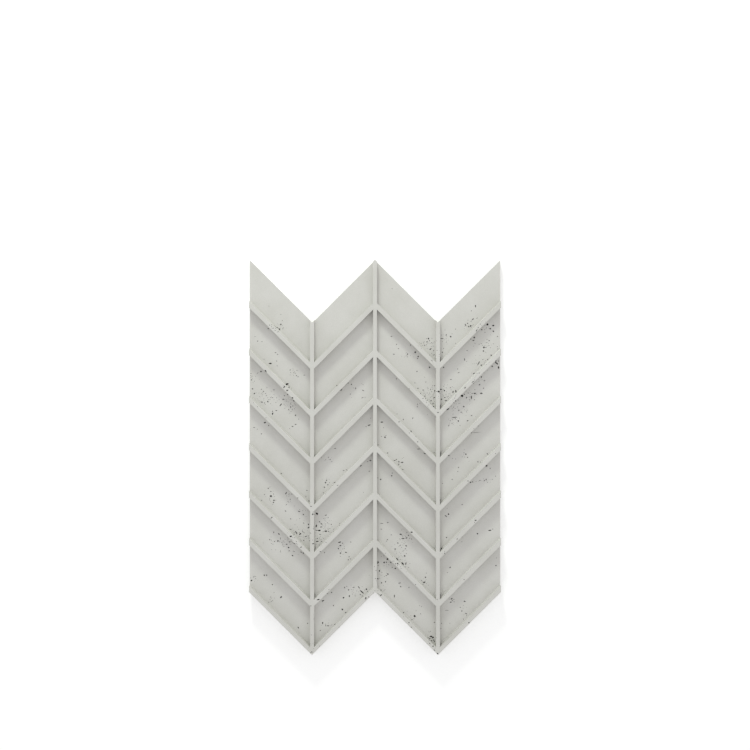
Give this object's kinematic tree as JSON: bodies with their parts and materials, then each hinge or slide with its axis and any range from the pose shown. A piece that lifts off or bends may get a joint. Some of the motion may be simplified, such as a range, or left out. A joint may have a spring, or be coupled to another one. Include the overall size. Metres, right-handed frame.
{
  "type": "concrete wall panel",
  "caption": "Thin cast concrete wall panel with a chevron relief: sunken slanted boards between raised ribs, zigzag ends that nest with the next panels, flat back for bonding.",
  "frame": {"origin": "on the flat back, at the middle of the panel's outer box, with the panel lying on its back", "axes": "+X across the panel, +Y up the wall as it is hung, +Z out of the relief face"},
  "size_m": [0.48, 0.7536, 0.025],
  "materials": {
    "concrete": "matte"
  },
  "bodies": {
    "root": {"chevron_panel": "concrete"}
  },
  "joints": []
}
